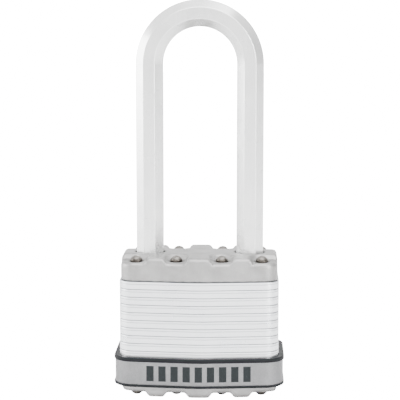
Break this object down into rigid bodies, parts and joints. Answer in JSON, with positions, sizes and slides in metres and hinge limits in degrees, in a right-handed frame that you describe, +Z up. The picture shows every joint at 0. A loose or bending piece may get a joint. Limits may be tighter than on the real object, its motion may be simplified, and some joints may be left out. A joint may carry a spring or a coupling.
{
  "type": "laminated padlock",
  "caption": "Laminated steel padlock with a long eight-sided shackle, stamped end caps, through rivets and a two-part bumper round its base.",
  "frame": {"origin": "middle of the base, on the plane that the lower cap rests on", "axes": "+Z up along the shackle, -Y out of the front, +X to the right seen from the front"},
  "size_m": [0.0484, 0.0308, 0.1116],
  "materials": {
    "plate_steel": "bright plated, fine grain",
    "cap_steel": "satin stamped sheet",
    "rivet_steel": "dark plated",
    "bumper_plastic": "moulded, low sheen",
    "band_metal": "satin",
    "shackle_steel": "bright plated",
    "spring_steel": "drawn wire",
    "ball_steel": "ground and polished",
    "cam_metal": "sintered",
    "cylinder_brass": "machined",
    "plug_brass": "machined",
    "pin_brass": "machined"
  },
  "bodies": {
    "lock_body": {"plate_01": "plate_steel", "plate_02": "plate_steel", "plate_03": "plate_steel", "plate_04": "plate_steel", "plate_05": "plate_steel", "plate_06": "plate_steel", "plate_07": "plate_steel", "plate_08": "plate_steel", "plate_09": "plate_steel", "plate_10": "plate_steel", "plate_11": "plate_steel", "plate_12": "plate_steel", "plate_13": "plate_steel", "plate_14": "plate_steel", "plate_15": "plate_steel", "plate_16": "plate_steel", "top_cap": "cap_steel", "bottom_cap": "cap_steel", "rivets": "rivet_steel", "bumper_core": "bumper_plastic", "bumper_band": "band_metal", "shackle_spring": "spring_steel", "actuator_spring": "spring_steel", "cylinder_shell": "cylinder_brass", "chamber_cover": "cylinder_brass", "driver_pin_1": "pin_brass", "driver_pin_2": "pin_brass", "driver_pin_3": "pin_brass", "driver_pin_4": "pin_brass", "pin_spring_1": "spring_steel", "pin_spring_2": "spring_steel", "pin_spring_3": "spring_steel", "pin_spring_4": "spring_steel"},
    "shackle": {"shackle": "shackle_steel"},
    "plug": {"plug": "plug_brass", "plug_clip": "spring_steel", "key_pin_1": "pin_brass", "key_pin_2": "pin_brass", "key_pin_3": "pin_brass", "key_pin_4": "pin_brass"},
    "actuator": {"actuator": "cam_metal"},
    "heel_ball": {"heel_ball": "ball_steel"},
    "toe_ball": {"toe_ball": "ball_steel"}
  },
  "joints": [
    {"name": "shackle_slide", "type": "slide", "parent": "lock_body", "child": "shackle", "axis": [0, 0, 1], "range_m": [0, 0.0122], "deforming": ["shackle_spring"]},
    {"name": "plug_turn", "type": "hinge", "parent": "lock_body", "child": "plug", "pos_m": [0, 0, 0.0005], "axis": [0, 0, 1], "range_deg": [-90, 0]},
    {"name": "actuator_turn", "type": "hinge", "parent": "lock_body", "child": "actuator", "pos_m": [0, 0, 0.0289], "axis": [0, 0, 1], "range_deg": [-90, 0]},
    {"name": "heel_ball_slide", "type": "slide", "parent": "lock_body", "child": "heel_ball", "axis": [-1, 0, 0], "range_m": [0, 0.00146]},
    {"name": "toe_ball_slide", "type": "slide", "parent": "lock_body", "child": "toe_ball", "axis": [1, 0, 0], "range_m": [0, 0.00146]}
  ],
  "couplings": [
    {"joint": "actuator_turn", "follows": "plug_turn", "ratio": 1},
    {"joint": "heel_ball_slide", "follows": "plug_turn", "m_per_rad": -0.0009231},
    {"joint": "toe_ball_slide", "follows": "plug_turn", "m_per_rad": -0.0009231}
  ]
}
